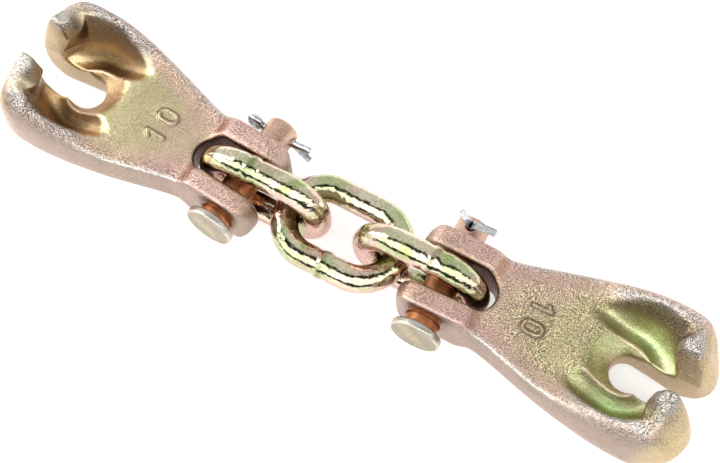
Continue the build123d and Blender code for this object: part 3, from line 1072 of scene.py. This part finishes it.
# Noise scales are per metre of the object, and depths are in metres. edge is the colour at grazing angles.
hook_steel = plated(
    "hook_plating", roughness=0.22, grain=2900.0, grain_depth=0.00015,
    wave_scale=130.0, wave_depth=0.0004, sparkle=0.3, edge=(1.0, 0.86, 0.86),
)
link_steel = plated(
    "link_plating", roughness=0.11, grain=1300.0, grain_depth=0.00004,
    wave_scale=420.0, wave_depth=0.00022, sparkle=0.14, edge=(1.0, 0.85, 0.88),
)
pin_steel = plated(
    "pin_plating", roughness=0.33, grain=1500.0, grain_depth=0.00008,
    wave_scale=200.0, wave_depth=0.0002, sparkle=0.15, edge=(1.0, 0.9, 0.88),
)
split_steel = plated(
    "split_pin_plating", roughness=0.2, grain=900.0, grain_depth=0.00004,
    wave_scale=300.0, wave_depth=0.0002, sparkle=0.15, edge=(1.0, 1.0, 1.0),
)

# Side, noise seed, pocket floor, pocket glint, grain on the plate, more grain where worn.
HOOKS = (
    ("left", 40, OLIVE, GOLD, 0.8, 2.2),
    ("right", 50, LEAF, AQUA, 2.0, 0.9),
)
# Node, where its weld is along its bar, noise seed.
LINKS = (("left_link", -4.5, 60), ("middle_link", 0, 70), ("right_link", 5, 80))
# Side, turn of the cross hole about the pin, how far the split pin's two legs are bent, in degrees.
PINS = (("left", 0.0, (16, 34)), ("right", -pi / 2, (25, 84)))
PIN_SEED = 90

hook_points, hook_normals, hook_quads, hook_here = build_hook()
for side, seed, deep, glint, plain, worn in HOOKS:
    tint = hook_colours(hook_points, hook_normals, hook_here, seed, deep, glint)
    grain = hook_grain(hook_points, hook_here, plain, worn)
    piece = mesh_object(side + "_hook_forging", hook_points, hook_quads, hook_place(side), tint, grain)
    finish_piece(piece, side + "_hook", side + "_hook", hook_steel)

for node, weld_at, seed in LINKS:
    points, quads, normals, weld = link_points(weld_at, seed)
    place = link_place(node)
    up = np.array(place.to_3x3().inverted() @ Vector((0, 0, 1)))
    tint = link_colours(points, normals, up, weld, seed + 5)
    piece = mesh_object(node + "_wire", points, quads, place, tint)
    finish_piece(piece, node, node, link_steel)

for side, hole_turn, splay in PINS:
    field = pin_field(hole_turn)
    points, quads = surface_nets(field, PIN_GRID_LOW, PIN_GRID_HIGH, PIN_VOXEL)
    points, _ = relaxed(field, points, quads)
    place = pin_place(side)
    piece = mesh_object(side + "_pin_turned", points, quads, place, pin_colours(points, PIN_SEED))
    finish_piece(piece, side + "_pin", side + "_clevis_pin", pin_steel)
    points, quads = split_pin_shape(splay)
    to_hole = Matrix.Translation((0, (PIN_LENGTH - SPLIT_HOLE_FROM_END) * MM, 0))
    split_at = place @ to_hole @ Matrix.Rotation(hole_turn, 4, "Y")
    tint = np.tile(SPLIT_ZINC, (len(points), 1))
    piece = mesh_object(side + "_split_pin_wire", points, quads, split_at, tint)
    finish_piece(piece, side + "_pin", side + "_split_pin", split_steel)


# ---------------------------------------------------------------- studio

FLOOR_HALF = 6.0
FLOOR_DROP = 0.0002
FLOOR_GLOW = 0.45
PAPER = (0.93, 0.93, 0.93, 1)


def studio_floor():
    """A plain white floor just under the object, which glows a little so that it stays white."""
    mesh = bpy.data.meshes.new("studio_floor")
    corners = [(-1, -1), (1, -1), (1, 1), (-1, 1)]
    mesh.from_pydata([(x * FLOOR_HALF, y * FLOOR_HALF, 0) for x, y in corners], [], [(0, 1, 2, 3)])
    floor = bpy.data.objects.new("studio_floor", mesh)
    floor.location.z = cad_low.z - FLOOR_DROP
    bpy.context.scene.collection.objects.link(floor)
    paper = bpy.data.materials.new("white_paper")
    paper.use_nodes = True
    shader = paper.node_tree.nodes["Principled BSDF"]
    shader.inputs["Base Color"].default_value = PAPER
    shader.inputs["Roughness"].default_value = 0.9
    shader.inputs["Emission Color"].default_value = (1, 1, 1, 1)
    shader.inputs["Emission Strength"].default_value = FLOOR_GLOW
    mesh.materials.append(paper)


def softbox(name, place, width, height, power):
    """A rectangular lamp aimed at the middle of the object."""
    light = bpy.data.lights.new(name, "AREA")
    light.shape = "RECTANGLE"
    light.size = width
    light.size_y = height
    light.energy = power
    lamp = bpy.data.objects.new(name, light)
    lamp.location = place
    lamp.rotation_euler = (-Vector(place)).to_track_quat("-Z", "Y").to_euler()
    bpy.context.scene.collection.objects.link(lamp)


# The sky over the near side, as (degrees from straight up, strength): a broad bright band between two dark
# ones, which polished steel shows as a white streak with dark edges.
SKY_WAY = (0.3, -0.954, 0)
SKY = (
    (-60, 0.54),
    (-9, 0.54),
    (-3, 0.015),
    (14, 0.015),
    (18, 1.5),
    (62, 1.5),
    (66, 0.02),
    (88, 0.02),
    (94, 0.4),
)
SKY_STRENGTH = 1.75
LAMP_PLACE = (-1.0, -0.15, 0.6)
LAMP_WIDTH = 0.4
LAMP_HEIGHT = 0.8
LAMP_POWER = 7


def studio_light():
    """The banded sky, and a lamp to the left that lights the insides of the horns."""
    world = bpy.data.worlds.new("studio")
    world.use_nodes = True
    tree = world.node_tree
    way = add_node(tree, "ShaderNodeTexCoord")["Generated"]
    near = add_node(tree, "ShaderNodeVectorMath", {0: way, 1: SKY_WAY}, operation="DOT_PRODUCT")["Value"]
    height = add_node(tree, "ShaderNodeSeparateXYZ", {0: way})["Z"]
    tilt = add_node(tree, "ShaderNodeMath", {0: near, 1: height}, operation="ARCTAN2")["Value"]
    first, last = SKY[0][0], SKY[-1][0]
    share = {"Value": tilt, "From Min": radians(first), "From Max": radians(last)}
    share = add_node(tree, "ShaderNodeMapRange", share)["Result"]
    bands = tree.nodes.new("ShaderNodeValToRGB")
    stops = bands.color_ramp.elements
    for k, (angle, strength) in enumerate(SKY):
        at = (angle - first) / (last - first)
        stop = stops[k] if k < 2 else stops.new(at)
        stop.position = at
        stop.color = (strength, strength, strength, 1)
    tree.links.new(share, bands.inputs["Fac"])
    background = tree.nodes["Background"].inputs
    tree.links.new(bands.outputs["Color"], background["Color"])
    background["Strength"].default_value = SKY_STRENGTH
    bpy.context.scene.world = world
    softbox("left", LAMP_PLACE, LAMP_WIDTH, LAMP_HEIGHT, LAMP_POWER)


def camera():
    """The photo's view of the object: nearly from above, along the chain's diagonal."""
    flat = cos(CAMERA_ELEVATION)
    toward = Vector((flat * cos(CAMERA_AZIMUTH), flat * sin(CAMERA_AZIMUTH), sin(CAMERA_ELEVATION)))
    level = Vector((0, 0, 1)).cross(toward).normalized()
    right = level * cos(CAMERA_ROLL) + toward.cross(level) * sin(CAMERA_ROLL)
    chain_low, chain_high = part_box("middle_link")
    target = (chain_low + chain_high) / 2
    target.z = TARGET_HEIGHT
    lens = bpy.data.cameras.new("camera")
    lens.lens = CAMERA_LENS
    lens.shift_x = CAMERA_SHIFT
    view = bpy.data.objects.new("camera", lens)
    view.matrix_world = axes_matrix(right, toward.cross(right), toward, target + toward * CAMERA_DISTANCE)
    bpy.context.scene.collection.objects.link(view)
    bpy.context.scene.camera = view


studio_floor()
studio_light()
camera()
bpy.context.scene.view_settings.view_transform = "Standard"

bpy.context.view_layer.update()
